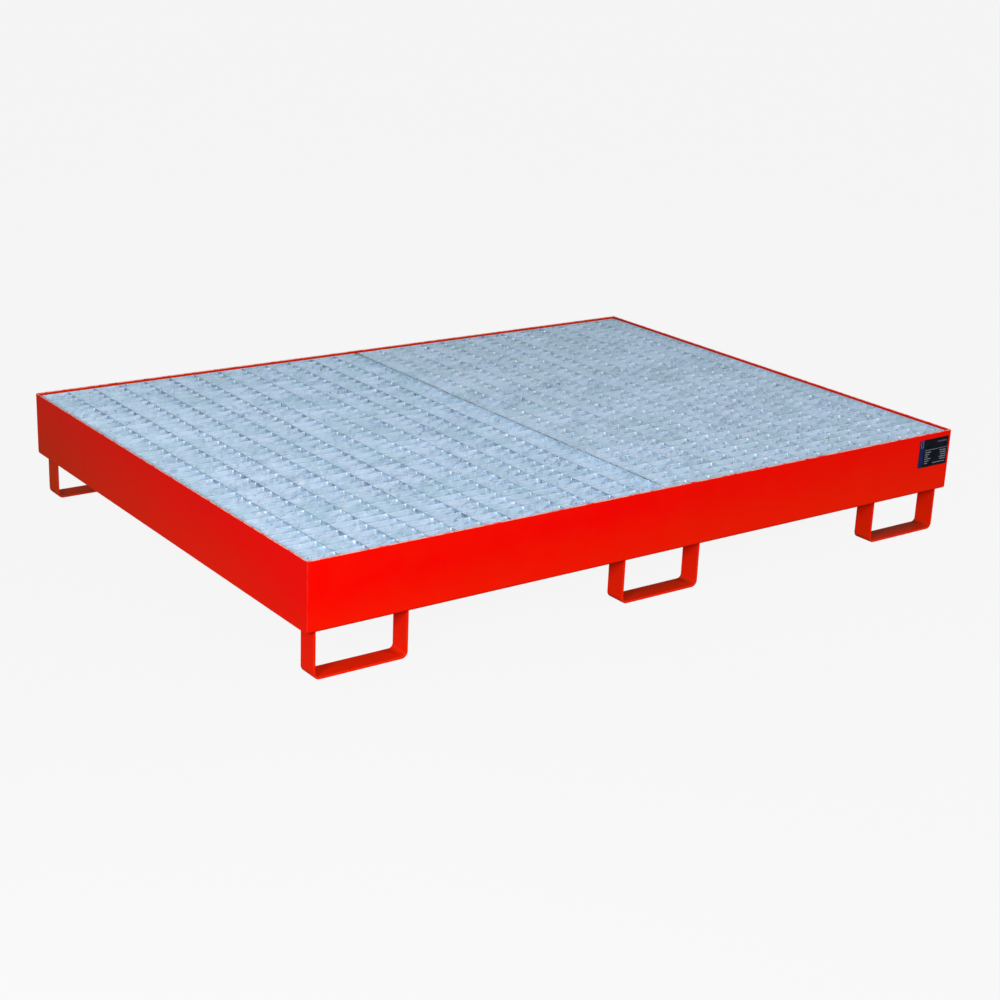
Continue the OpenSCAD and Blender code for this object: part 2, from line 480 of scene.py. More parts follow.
# %% Make the zinc
def make_zinc(name, first_column, dark, deep, pale, stain):
    made, tree, shader = new_material(name)
    crystals = place_group(tree, spangle, Scale=105.0).outputs
    values = {label: place_group(tree, clouds, Scale=scale, Detail=detail, Low=low,
                                 High=high).outputs["Value"]
              for label, scale, detail, low, high in (
                  ("stains", 11.0, 2.0, 0.42, 0.70), ("streaks", 38.0, 4.0, 0.30, 0.70),
                  ("painted_glints", 130.0, 2.0, 0.60, 0.70), ("marks", 85.0, 3.0, 0.58, 0.68))}
    values["crystals"] = crystals["Tone"]
    tone, painted_highlight = zinc_tone(tree, place_of(tree), first_column)
    for label in ("crystals", "streaks", "marks"):
        tone = math_node(tree, "MULTIPLY_ADD", values[label], tone_shares[label], tone)
    steps = node(tree, "ShaderNodeValToRGB", {"Fac": tone})
    steps.color_ramp.elements[0].color = dark
    steps.color_ramp.elements[1].color = pale
    steps.color_ramp.elements.new(0.5).color = deep
    stained = mix_colour(tree, multiply(tree, values["stains"], 0.45),
                         steps.outputs["Color"], stain)
    # Painted glints and painted highlights mix towards near-white zinc.
    painted_glint = multiply(tree, values["painted_glints"], 0.5)
    highlighted_colour = mix_colour(tree, math_node(tree, "MAXIMUM", painted_glint, painted_highlight), stained, painted_highlight_white)
    tree.links.new(highlighted_colour, shader.inputs["Base Color"])
    rough = math_node(tree, "MULTIPLY_ADD", crystals["Tint"], 0.14, 0.42)
    tree.links.new(math_node(tree, "MULTIPLY_ADD", values["streaks"], 0.08, rough),
                   shader.inputs["Roughness"])
    shader.inputs["Metallic"].default_value = 0.25
    shader.inputs["Specular IOR Level"].default_value = 0.3
    height = math_node(tree, "MULTIPLY_ADD", values["streaks"], 1.5, crystals["Height"])
    bump(tree, shader, height, 0.12 * MM)
    return made


zinc = {
    LEFT: make_zinc(
        "zinc_left", left_columns[0], dark=(0.12, 0.18, 0.26, 1), deep=(0.395, 0.550, 0.715, 1),
        pale=(0.57, 0.745, 0.905, 1), stain=(0.36, 0.58, 0.67, 1)),
    RIGHT: make_zinc(
        "zinc_right", right_columns[0], dark=(0.12, 0.17, 0.24, 1), deep=(0.40, 0.55, 0.70, 1),
        pale=(0.56, 0.73, 0.88, 1), stain=(0.38, 0.57, 0.64, 1)),
}
print("materials", [m.name for m in zinc.values()])

# %% [markdown]
# ## Mesh helpers
# Almost every red piece is a flat outline with a constant thickness: a wall, a folded
# channel, an angle, a bent foot. One helper extrudes an outline along an axis and rounds
# the sharp edges that this leaves, as a shear, a press and a coat of paint round them.
# Arcs in an outline are computed, with enough points to look round.
#
# The rounded strips are marked in a face-corner attribute for the worn-edge effect, and
# a Weighted Normal modifier keeps the flats flat beside them.


# %% Helpers that make meshes
def arc(centre, radius, start, end, steps=8):
    """Points along an arc in an outline's own plane, angles in degrees."""
    points = []
    for i in range(steps + 1):
        angle = math.radians(start + (end - start) * i / steps)
        points.append((centre[0] + radius * math.cos(angle), centre[1] + radius * math.sin(angle)))
    return points


def round_edges(bm, amount, segments=2):
    """Rounds every edge sharper than 30 degrees and marks the new strips as edge 1."""
    limit = math.radians(30)
    sharp = [e for e in bm.edges if e.is_manifold and e.calc_face_angle() > limit]
    made = bmesh.ops.bevel(bm, geom=sharp, offset=amount, segments=segments,
                           profile=0.5, affect="EDGES", clamp_overlap=True)
    mark = bm.loops.layers.float.new("edge")
    for face in made["faces"]:
        for loop in face.loops:
            loop[mark] = 1.0


def extrude_outline(outline, length, to_row, amount):
    """A mesh from an outline (u, v) extruded along w. to_row turns (u, v, w) to the row frame."""
    bm = bmesh.new()
    rings = [[bm.verts.new(to_row(u, v, w)) for u, v in outline] for w in (0.0, length)]
    count = len(outline)
    for i in range(count):
        j = (i + 1) % count
        bm.faces.new((rings[0][i], rings[0][j], rings[1][j], rings[1][i]))
    bm.faces.new(rings[0][::-1])
    bm.faces.new(rings[1])
    bmesh.ops.recalc_face_normals(bm, faces=bm.faces)
    round_edges(bm, amount)
    return bm


def rounded_box(low, high, amount):
    """A box between two corners with its edges rounded."""
    bm = bmesh.new()
    bmesh.ops.create_cube(bm, size=1.0)
    for vertex in bm.verts:
        vertex.co = Vector(
            low[i] + (vertex.co[i] + 0.5) * (high[i] - low[i]) for i in range(3))
    round_edges(bm, amount)
    return bm


def add_object(name, data):
    """A new object in the scene, for a mesh, a lamp or a camera."""
    made = bpy.data.objects.new(name, data)
    bpy.context.scene.collection.objects.link(made)
    return made


def to_mesh(name, bm):
    """Turns a bmesh into a mesh and frees it."""
    mesh = bpy.data.meshes.new(name)
    bm.to_mesh(mesh)
    bm.free()
    return mesh


def shade_round(piece):
    """Smooth shading that leaves the large flat faces flat."""
    piece.data.shade_smooth()
    piece.modifiers.new("keep_flat", "WEIGHTED_NORMAL").weight = 100


def to_piece(name, bm, material):
    """Makes a finished, smooth-shaded object from a bmesh."""
    made = add_object(name, to_mesh(name, bm))
    made.data.materials.append(material)
    shade_round(made)
    return made


def stand_for(piece, body, slot, *nodes):
    """The piece rides on a body and takes the CAD nodes' place; slot is not used."""
    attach(piece, body)
    if nodes:
        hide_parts(*nodes)
    return piece


print("mesh helpers ready")

# %% [markdown]
# ## The folded tray sheet
# The floor and both long walls are one sheet, folded up along its two long edges. Its
# cross-section is a flat channel with an arc inside and outside each fold, and it is
# swept along the tray. It could be bent from a flat sheet with a Simple Deform modifier,
# but the outline is exact and gives the fold its real inside radius.


# %% Make the tray sheet
def channel_outline(half_width, base, top, wall, radius):
    """Closed outline of an upward channel: outside from top left round to top right, then inside."""
    inner = radius - wall
    right, low = half_width - radius, base + radius
    outside = [(-half_width, top)] + arc((-right, low), radius, 180, 270)
    outside += arc((right, low), radius, 270, 360) + [(half_width, top)]
    inside = [(half_width - wall, top)] + arc((right, low), inner, 360, 270)
    inside += arc((-right, low), inner, 270, 180) + [(-half_width + wall, top)]
    return outside + inside


def along_x(start):
    """Outline u is y and v is z, and the sweep goes along x from start."""
    return lambda u, v, w: (start + w, u, v)


tray_outline = channel_outline(tray_half_width, tray_base, rim_z, sheet, fold_radius)
tray_sheet = to_piece(
    "folded_tray_sheet",
    extrude_outline(tray_outline, 2 * inner_half_length, along_x(-inner_half_length), edge_round),
    coat)
stand_for(tray_sheet, TRAY, "red_coat", "tray_sheet")
print(tray_sheet.name, len(tray_sheet.data.polygons), "faces")

# %% [markdown]
# ## The end walls
# Each end is closed by a plate cut to the channel's outer outline, so its lower corners
# follow the folds. It laps over the ends of the folded sheet, and its outer edges are
# ground round after welding.


# %% Make the end walls
ground_round = 2.8 * MM


def end_wall_outline():
    right, low = tray_half_width - fold_radius, tray_base + fold_radius
    return ([(-tray_half_width, rim_z)] + arc((-right, low), fold_radius, 180, 270)
            + arc((right, low), fold_radius, 270, 360) + [(tray_half_width, rim_z)])


for side, start in (("left", -tray_half_length), ("right", inner_half_length)):
    wall = to_piece(
        f"{side}_end_plate",
        extrude_outline(end_wall_outline(), sheet, along_x(start), ground_round),
        coat)
    stand_for(wall, TRAY, "red_coat", f"{side}_end_wall")
    print(wall.name, len(wall.data.polygons), "faces")

# %% [markdown]
# ## Ledges and the beam under the seam
# The gratings rest on angles welded inside the walls, and on a T-shaped beam under the
# seam between them. None of it shows until a grating is lifted out, but then it is what
# one looks at, so it gets the same rounded edges and welds as the outside.


# %% Make the ledges
def angle_outline(leg, thickness):
    """An angle with its flat leg on top, its back at u 0 and its top at v 0."""
    return [(0, 0), (leg, 0), (leg, -thickness), (thickness, -thickness),
            (thickness, -leg), (0, -leg)]


def against_wall(direction, wall_distance, half):
    """Outline u goes inwards from a wall, v is height above the grating's base."""
    inwards, sideways = -direction, Vector((-direction.y, direction.x, 0))

    def place(u, v, w):
        spot = direction * wall_distance + inwards * u + sideways * (w - half)
        return (spot.x, spot.y, grating_base + v)
    return place


ledge_leg = ledge_high.z - ledge_low.z
ledge_places = {
    "front": (Vector((0, -1, 0)), inner_half_width, inner_half_length),
    "rear": (Vector((0, 1, 0)), inner_half_width, inner_half_length),
    "left": (Vector((-1, 0, 0)), inner_half_length, inner_half_width - ledge_leg),
    "right": (Vector((1, 0, 0)), inner_half_length, inner_half_width - ledge_leg),
}
for side, (direction, distance, half) in ledge_places.items():
    ledge = to_piece(
        f"{side}_support_angle",
        extrude_outline(angle_outline(ledge_leg, ledge_sheet), 2 * half,
                        against_wall(direction, distance, half), edge_round / 2),
        coat)
    stand_for(ledge, TRAY, "red_coat", f"{side}_ledge")
print("four support angles,", len(ledge.data.polygons), "faces each")

# %% Make the beam
for part in ("web", "flange"):
    plate = to_piece(f"seam_beam_{part}", rounded_box(*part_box(f"beam_{part}"), edge_round), coat)
    stand_for(plate, TRAY, "red_coat", f"beam_{part}")

# %% [markdown]
# ## The feet
# A foot is one flat bar, bent twice over a round former. Rolled flat bar has slightly
# rounded edges, and the bends keep them. The outline is the bar seen from the front, a
# narrow channel, and it is extruded over the bar's width.


# %% Make the six feet
def along_y(centre_x, start):
    """Outline u is x and v is z, and the sweep goes along y from start."""
    return lambda u, v, w: (centre_x + u, start + w, v)


for row in ("front", "rear"):
    for column in ("left", "middle", "right"):
        low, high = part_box(f"foot_{row}_{column}")
        outline = channel_outline((high.x - low.x) / 2, low.z, high.z, foot_bar, foot_bend)
        foot = to_piece(
            f"{row}_{column}_foot",
            extrude_outline(outline, high.y - low.y, along_y((low.x + high.x) / 2, low.y),
                            edge_round),
            coat)
        stand_for(foot, TRAY, "red_coat", f"foot_{row}_{column}")
print("six feet,", len(foot.data.polygons), "faces each")

# %% [markdown]
# ## Geometry Nodes helpers
# What repeats, or follows a seam, is grown by Geometry Nodes. Each tree has named
# inputs, realizes its instances and sets its material. The helper below runs a tree once
# and keeps the result as a plain mesh, so nothing stays live on the finished piece.


# %% Helper that runs a geometry tree
def grow(name, tree, values, source=None):
    """Runs a tree on a mesh, or on nothing, with inputs by name. Returns a plain object."""
    seed = add_object(name + "_seed", source or bpy.data.meshes.new(name + "_seed"))
    modifier = seed.modifiers.new("grow", "NODES")
    modifier.node_group = tree
    for item in tree.interface.items_tree:
        if item.in_out == "INPUT" and item.name in values:
            modifier[item.identifier] = values[item.name]
    graph = bpy.context.evaluated_depsgraph_get()
    mesh = bpy.data.meshes.new_from_object(
        seed.evaluated_get(graph), preserve_all_data_layers=True, depsgraph=graph)
    mesh.name = name
    bpy.data.objects.remove(seed)
    return add_object(name, mesh)


INT, GEOMETRY, MATERIAL = "NodeSocketInt", "NodeSocketGeometry", "NodeSocketMaterial"
print("geometry helper ready")

# %% [markdown]
# ## Weld beads
# A weld bead is a string of frozen ripples. Each seam is an edge of a wire mesh; the
# tree turns it into a curve, sweeps a circle along it and swells the tube in short
# waves, thinner towards both ends. Sunk half into the corner, the tube reads as a fillet
# weld; sunk deeper, as a seam ground nearly flush.


# %% Geometry tree: weld beads along edges
def make_bead_tree():
    tree, entry, result = new_group(
        "weld_beads", "GeometryNodeTree",
        [("Seams", GEOMETRY, None), ("Radius", FLOAT, 0.003), ("Ripple Length", FLOAT, 0.003),
         ("Ripple Height", FLOAT, 0.0003), ("Coat", MATERIAL, None)],
        [("Beads", GEOMETRY)])
    item = entry.outputs
    wires = node(tree, "GeometryNodeMeshToCurve", {0: item["Seams"]})
    step = multiply(tree, item["Ripple Length"], 0.25)
    fine = node(tree, "GeometryNodeResampleCurve", {0: wires.outputs[0], "Length": step},
                mode="LENGTH")
    run = node(tree, "GeometryNodeSplineParameter")
    whole = node(tree, "GeometryNodeSplineLength")
    left_over = math_node(tree, "SUBTRACT", whole.outputs["Length"], run.outputs["Length"])
    to_end = math_node(tree, "MINIMUM", run.outputs["Length"], left_over)
    taper = node(tree, "ShaderNodeMapRange", {
        "Value": to_end, "From Max": item["Radius"], "To Min": 0.35},
        interpolation_type="SMOOTHSTEP")
    phase = math_node(tree, "DIVIDE", run.outputs["Length"], item["Ripple Length"])
    wave = math_node(tree, "SINE", multiply(tree, phase, math.tau))
    noise = node(tree, "ShaderNodeTexNoise", {"Scale": 90.0, "Detail": 2.0})
    swell = multiply(tree, math_node(tree, "MULTIPLY_ADD", noise.outputs["Fac"], 1.6, wave),
                     item["Ripple Height"])
    plain = math_node(tree, "ADD", item["Radius"], swell)
    radius = multiply(tree, plain, taper.outputs["Result"])
    ring = node(tree, "GeometryNodeCurvePrimitiveCircle", {"Resolution": 10, "Radius": 1.0})
    tube = node(tree, "GeometryNodeCurveToMesh", {
        "Curve": fine.outputs[0], "Profile Curve": ring.outputs["Curve"],
        "Scale": radius, "Fill Caps": True})
    smooth = node(tree, "GeometryNodeSetShadeSmooth", {0: tube.outputs[0]})
    solid = node(tree, "GeometryNodeRealizeInstances", {0: smooth.outputs[0]})
    painted = node(tree, "GeometryNodeSetMaterial", {0: solid.outputs[0], "Material": item["Coat"]})
    tree.links.new(painted.outputs[0], result.inputs["Beads"])
    return tree


bead_tree = make_bead_tree()
print("tree", bead_tree.name)


# %% List the seams
def fillet_seams():
    """Seams under the tray, on both sides of each foot's two uprights."""
    seams = []
    for row in ("front", "rear"):
        for column in ("left", "middle", "right"):
            low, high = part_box(f"foot_{row}_{column}")
            for x in (low.x, low.x + foot_bar, high.x - foot_bar, high.x):
                seams.append(((x, low.y + 2 * MM, high.z), (x, high.y - 2 * MM, high.z)))
    return seams


def stitches(start, end, count, length):
    """Short seams, evenly spaced between two points."""
    start, end = Vector(start), Vector(end)
    half = (end - start).normalized() * length / 2
    middles = [start.lerp(end, (i + 0.5) / count) for i in range(count)]
    return [(middle - half, middle + half) for middle in middles]


def inner_seams():
    """Stitch welds under the ledges, along the beam and around the tray's inside ends."""
    seams = []
    stitch = 40 * MM
    ledge_foot = grating_base - ledge_leg
    for side in (-1, 1):
        y, x = side * inner_half_width, side * inner_half_length
        seams += stitches((-inner_half_length, y, ledge_foot), (inner_half_length, y, ledge_foot),
                          9, stitch)
        seams += stitches((x, -inner_half_width, ledge_foot), (x, inner_half_width, ledge_foot),
                          6, stitch)
        seams += stitches((side * web_high.x, web_low.y, floor_z),
                          (side * web_high.x, web_high.y, floor_z), 7, stitch)
        seams += stitches((side * web_high.x, web_low.y, flange_low.z),
                          (side * web_high.x, web_high.y, flange_low.z), 7, stitch)
    return seams


def end_seams():
    """Long inside seams between the end walls and the folded sheet."""
    seams = []
    top = rim_z - 2 * MM
    for x in (-inner_half_length, inner_half_length):
        seams.append(((x, -inner_half_width + sheet, floor_z), (x, inner_half_width - sheet, floor_z)))
        for y in (-inner_half_width, inner_half_width):
            seams.append(((x, y, floor_z + sheet), (x, y, top)))
    return seams


def ground_seams():
    """Outside seams of the end walls, sunk so that only a low ridge shows."""
    seams = []
    sunk = 0.9 * MM
    for x in (-inner_half_length, inner_half_length):
        z = tray_base + sunk
        seams.append(((x, -tray_half_width + fold_radius, z), (x, tray_half_width - fold_radius, z)))
        for y in (-tray_half_width + sunk, tray_half_width - sunk):
            seams.append(((x, y, tray_base + fold_radius), (x, y, rim_z - 1 * MM)))
    return seams


print(len(fillet_seams()), "fillets at the feet,", len(inner_seams()), "stitches inside")


# %% Run the beads
def wire_mesh(name, seams):
    """A mesh of loose edges, one for each seam."""
    points = [point for seam in seams for point in seam]
    edges = [(2 * i, 2 * i + 1) for i in range(len(seams))]
    mesh = bpy.data.meshes.new(name)
    mesh.from_pydata(points, edges, [])
    return mesh


bead_sets = {
    "foot_welds": (fillet_seams(), 3.2 * MM, 3.0 * MM, 0.30 * MM),
    "stitch_welds": (inner_seams(), 3.0 * MM, 3.0 * MM, 0.30 * MM),
    "end_welds": (end_seams(), 2.6 * MM, 3.0 * MM, 0.25 * MM),
    "ground_welds": (ground_seams(), 1.3 * MM, 5.0 * MM, 0.08 * MM),
}
for name, (seams, radius, ripple, height) in bead_sets.items():
    beads = grow(name, bead_tree, {
        "Radius": radius, "Ripple Length": ripple, "Ripple Height": height, "Coat": coat},
        wire_mesh(name, seams))
    stand_for(beads, TRAY, "red_coat")
    print(name, len(seams), "seams,", len(beads.data.polygons), "faces")

# %% [markdown]
# ## Grating bars
# A pressed grating is rows of flat bars: bearing bars on edge along the tray, and thin
# cross bars pressed flush into their tops. One tree makes a row: a rounded rectangle is
# swept into a bar, the bar is repeated at a pitch, and every bar gets a slight lean, a
# slight wander and a tone of its own, because cut and pressed strip is never quite
# straight. The seed is fixed.


# %% Geometry nodes: one bar
def one_bar(tree, item):
    """A rounded rectangle swept along x, with its top faces marked for painted light and shade on the
    zinc.
    """
    half = multiply(tree, item["Length"], 0.5)
    ends = [node(tree, "ShaderNodeCombineXYZ", {0: x}).outputs[0]
            for x in (multiply(tree, half, -1.0), half)]
    line = node(tree, "GeometryNodeCurvePrimitiveLine", {"Start": ends[0], "End": ends[1]})
    path = node(tree, "GeometryNodeResampleCurve",
                {0: line.outputs[0], "Count": item["Stations"]}, mode="COUNT")
    section = node(tree, "GeometryNodeCurvePrimitiveQuadrilateral",
                   {"Width": item["Thickness"], "Height": item["Depth"]})
    rounded = node(tree, "GeometryNodeFilletCurve",
                   {0: section.outputs[0], "Count": 2, "Radius": item["Round"]}, mode="POLY")
    bar = node(tree, "GeometryNodeCurveToMesh", {
        "Curve": path.outputs[0], "Profile Curve": rounded.outputs[0], "Fill Caps": True})
    up = node(tree, "ShaderNodeSeparateXYZ", {0: node(tree, "GeometryNodeInputNormal").outputs[0]})
    on_top = math_node(tree, "GREATER_THAN", up.outputs["Z"], 0.5)
    return node(tree, "GeometryNodeStoreNamedAttribute", {
        "Geometry": bar.outputs[0], "Name": "crown",
        "Value": multiply(tree, on_top, item["Painted Top Shading"])}, data_type="FLOAT", domain="FACE")


print("one bar: a path, a section, and a mark on its top")


# %% Geometry nodes: a row, and its unevenness
def row_of(tree, item, bar):
    """The bar repeated along y at a pitch, each with its own lean and tone."""
    gaps = math_node(tree, "SUBTRACT", item["Count"], 1.0)
    reach = multiply(tree, gaps, item["Pitch"])
    first = node(tree, "ShaderNodeCombineXYZ", {1: multiply(tree, reach, -0.5)})
    step = node(tree, "ShaderNodeCombineXYZ", {1: item["Pitch"]})
    row = node(tree, "GeometryNodeMeshLine", {
        "Count": item["Count"], "Start Location": first.outputs[0], "Offset": step.outputs[0]})
    lean = node(tree, "FunctionNodeRandomValue", {
        "Min": multiply(tree, item["Lean"], -1.0), "Max": item["Lean"],
        "Seed": item["Seed"]}, data_type="FLOAT")
    tilt = node(tree, "ShaderNodeCombineXYZ", {0: lean.outputs[1]})
    placed = node(tree, "GeometryNodeInstanceOnPoints", {
        "Points": row.outputs[0], "Instance": bar.outputs[0], "Rotation": tilt.outputs[0]})
    tone = node(tree, "FunctionNodeRandomValue", {
        "Min": item["Tone Low"], "Max": item["Tone High"],
        "Seed": math_node(tree, "ADD", item["Seed"], 7.0)}, data_type="FLOAT")
    toned = node(tree, "GeometryNodeStoreNamedAttribute", {
        "Geometry": placed.outputs[0], "Name": "tone", "Value": tone.outputs[1]},
        data_type="FLOAT", domain="INSTANCE")
    return node(tree, "GeometryNodeRealizeInstances", {0: toned.outputs[0]})


def wandering(tree, item, bars):
    """The bars bent a little by noise, mostly sideways."""
    place = node(tree, "GeometryNodeInputPosition")
    noise = node(tree, "ShaderNodeTexNoise", {
        "Vector": place.outputs[0], "W": item["Seed"], "Scale": 9.0, "Detail": 2.0},
        noise_dimensions="4D")
    centred = node(tree, "ShaderNodeVectorMath", {
        0: noise.outputs["Color"], 1: (0.5, 0.5, 0.5)}, operation="SUBTRACT")
    shift = node(tree, "ShaderNodeVectorMath", {
        0: centred.outputs[0], "Scale": item["Wander"]}, operation="SCALE")
    mostly_sideways = node(tree, "ShaderNodeVectorMath", {
        0: shift.outputs[0], 1: (0.3, 2.0, 0.5)}, operation="MULTIPLY")
    return node(tree, "GeometryNodeSetPosition", {
        "Geometry": bars.outputs[0], "Offset": mostly_sideways.outputs[0]})


def finish_tree(tree, item, geometry, rotation=(0, 0, 0)):
    """Moves what was made to its centre, realizes it and gives it its finish."""
    moved = node(tree, "GeometryNodeTransform", {
        "Geometry": geometry.outputs[0], "Translation": item["Centre"], "Rotation": rotation})
    solid = node(tree, "GeometryNodeRealizeInstances", {0: moved.outputs[0]})
    return node(tree, "GeometryNodeSetMaterial", {0: solid.outputs[0], "Material": item["Finish"]})


print("row helpers ready")


# %% Geometry tree: a row of bars
def make_bar_tree():
    tree, entry, result = new_group(
        "bar_row", "GeometryNodeTree",
        [("Length", FLOAT, 1.0), ("Depth", FLOAT, 0.03), ("Thickness", FLOAT, 0.002),
         ("Round", FLOAT, 0.0005), ("Count", INT, 3), ("Pitch", FLOAT, 0.03),
         ("Stations", INT, 20), ("Lean", FLOAT, 0.01), ("Wander", FLOAT, 0.0004),
         ("Turn", FLOAT, 0.0), ("Centre", VECTOR, None), ("Tone Low", FLOAT, 0.3),
         ("Tone High", FLOAT, 0.6), ("Painted Top Shading", FLOAT, 0.15), ("Seed", INT, 0),
         ("Finish", MATERIAL, None)],
        [("Bars", GEOMETRY)])
    item = entry.outputs
    bars = wandering(tree, item, row_of(tree, item, one_bar(tree, item)))
    turn = node(tree, "ShaderNodeCombineXYZ", {2: item["Turn"]})
    finished = finish_tree(tree, item, bars, turn.outputs[0])
    tree.links.new(finished.outputs[0], result.inputs["Bars"])
    return tree


bar_tree = make_bar_tree()
print("tree", bar_tree.name)


# %% Make the gratings' bars
cross_sink = 0.35 * MM
bearing_round = 0.5 * MM


def bar_rows(side, body, seed, painted_cross_shade):
    """The bearing bars, cross bars and banding bars of one grating."""
    finish = zinc[body]

    def row(piece, source, values, *nodes):
        low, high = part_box(source)
        made = grow(piece, bar_tree, {
            "Round": bearing_round, "Seed": seed, "Finish": finish,
            "Centre": (low + high) / 2, **values})
        shade_round(made)
        stand_for(made, body, "zinc", *nodes)
        print(piece, len(made.data.polygons), "faces")
        return made

    low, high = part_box(f"{side}_bearing_bars")
    # The bearing bars' tops get a painted highlight.
    row(f"{side}_panel_bearing_bars", f"{side}_bearing_bars", {
        "Length": high.x - low.x, "Depth": high.z - low.z, "Thickness": bar_sheet,
        "Count": len(bearing_rows), "Pitch": bearing_pitch, "Stations": 27,
        "Lean": 0.03, "Wander": 1.4 * MM, "Painted Top Shading": 1.25}, f"{side}_bearing_bars")
    low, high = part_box(f"{side}_cross_bars")
    cross = (low + high) / 2 - Vector((0, 0, cross_sink))
    row(f"{side}_panel_cross_bars", f"{side}_cross_bars", {
        "Length": high.y - low.y, "Depth": high.z - low.z, "Thickness": bar_sheet,
        "Count": len(left_columns), "Pitch": cross_pitch, "Stations": 79,
        "Lean": 0.02, "Wander": 0.6 * MM, "Turn": math.pi / 2, "Centre": cross,
        "Tone Low": painted_cross_shade[0], "Tone High": painted_cross_shade[1], "Painted Top Shading": painted_cross_shade[2]},
        f"{side}_cross_bars")
    for edge in ("front", "rear", "outer", "seam"):
        low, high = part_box(f"{side}_{edge}_banding")
        lengthwise = edge in ("front", "rear")
        # The right panel's seam bar is painted dark, as painted shade in the gap between the panels,
        # with a painted highlight on its top.
        shaded_in_gap = {"Tone Low": 0.05, "Tone High": 0.15, "Painted Top Shading": 1.3}
        shades = shaded_in_gap if (side, edge) == ("right", "seam") else {"Painted Top Shading": 0.7}
        row(f"{side}_panel_{edge}_edge", f"{side}_{edge}_banding", {
            "Length": (high.x - low.x) if lengthwise else (high.y - low.y),
            "Depth": high.z - low.z, "Thickness": banding_sheet, "Count": 1, "Pitch": 0.0,
            "Stations": 30, "Lean": 0.0, "Wander": 0.3 * MM,
            "Turn": 0.0 if lengthwise else math.pi / 2, **shades}, f"{side}_{edge}_banding")


# The cross bars' tones paint shade: darker side faces give dark wedges at the crossings, and darker
# tops.
bar_rows("left", LEFT, 11, (0.0, 0.35, -0.30))
bar_rows("right", RIGHT, 23, (0.25, 0.50, -0.12))

# %% [markdown]
# ## Zinc fillets at the crossings
# Molten zinc bridges every inside corner where bars cross and freezes there as a small
# fillet, and a tone above one gives it a painted highlight. A grid of points carries one
# crossing each: four fillets, made once as a small mesh, with a random size and a random
# quarter turn so that no two look alike.
# On about three crossings in ten a flat drop froze on top as well.


# %% Make one crossing
def crossing_mesh(name, radius, depth, half_bar):
    """Four concave corner fillets around a crossing, hanging down from z 0."""
    bm = bmesh.new()
    buried = half_bar * 0.4
    levels = [(-depth, 0.4), (-depth * 0.35, 1.0), (-0.2 * MM, 0.8)]
    for quarter in range(4):
        turn = Matrix.Rotation(quarter * math.pi / 2, 4, "Z")
        section = [(buried, buried), (half_bar + radius, buried)]
        section += arc((half_bar + radius, half_bar + radius), radius, 270, 180, 2)
        section += [(buried, half_bar + radius)]
        rings = []
        for z, size in levels:
            rings.append([bm.verts.new(turn @ Vector((
                buried + (x - buried) * size, buried + (y - buried) * size, z)))
                for x, y in section])
        for lower, upper in zip(rings, rings[1:]):
            for i in range(len(section)):
                j = (i + 1) % len(section)
                bm.faces.new((lower[i], lower[j], upper[j], upper[i]))
        bm.faces.new(rings[0][::-1])
        bm.faces.new(rings[-1])
    bmesh.ops.recalc_face_normals(bm, faces=bm.faces)
    return to_mesh(name, bm)


fillet_radius, fillet_depth = 2.6 * MM, 10 * MM
crossing = bpy.data.objects.new(
    "crossing", crossing_mesh("crossing", fillet_radius, fillet_depth, bar_sheet / 2))
print("one crossing has", len(crossing.data.polygons), "faces")


# %% Geometry nodes: fillets and drops on points
def fillets_on(tree, item, points):
    """One crossing on each point, with a random size and quarter turn."""
    shape = node(tree, "GeometryNodeObjectInfo", {"Object": item["Crossing"]})
    quarter = node(tree, "FunctionNodeRandomValue", {"Min": 0, "Max": 3, "Seed": item["Seed"]},
                   data_type="INT")
    turn = node(tree, "ShaderNodeCombineXYZ", {2: multiply(tree, quarter.outputs[2], math.pi / 2)})
    size = node(tree, "FunctionNodeRandomValue", {
        "Min": (0.75, 0.75, 0.6), "Max": (1.25, 1.25, 1.0),
        "Seed": math_node(tree, "ADD", item["Seed"], 3.0)}, data_type="FLOAT_VECTOR")
    return node(tree, "GeometryNodeInstanceOnPoints", {
        "Points": points.outputs[0], "Instance": shape.outputs["Geometry"],
        "Rotation": turn.outputs[0], "Scale": size.outputs[0]})


def drops_on(tree, item, points):
    """A flat drop on some of the points."""
    drop = node(tree, "GeometryNodeMeshUVSphere", {"Radius": 1.0, "Segments": 8, "Rings": 5})
    some = node(tree, "FunctionNodeRandomValue", {
        "Probability": 0.3, "Seed": math_node(tree, "ADD", item["Seed"], 5.0)},
        data_type="BOOLEAN")
    size = node(tree, "FunctionNodeRandomValue", {
        "Min": (1.2 * MM, 1.0 * MM, 0.5 * MM), "Max": (3.2 * MM, 1.8 * MM, 1.0 * MM),
        "Seed": math_node(tree, "ADD", item["Seed"], 9.0)}, data_type="FLOAT_VECTOR")
    return node(tree, "GeometryNodeInstanceOnPoints", {
        "Points": points.outputs[0], "Selection": some.outputs[3],
        "Instance": drop.outputs[0], "Scale": size.outputs[0]})


print("fillet and drop helpers ready")


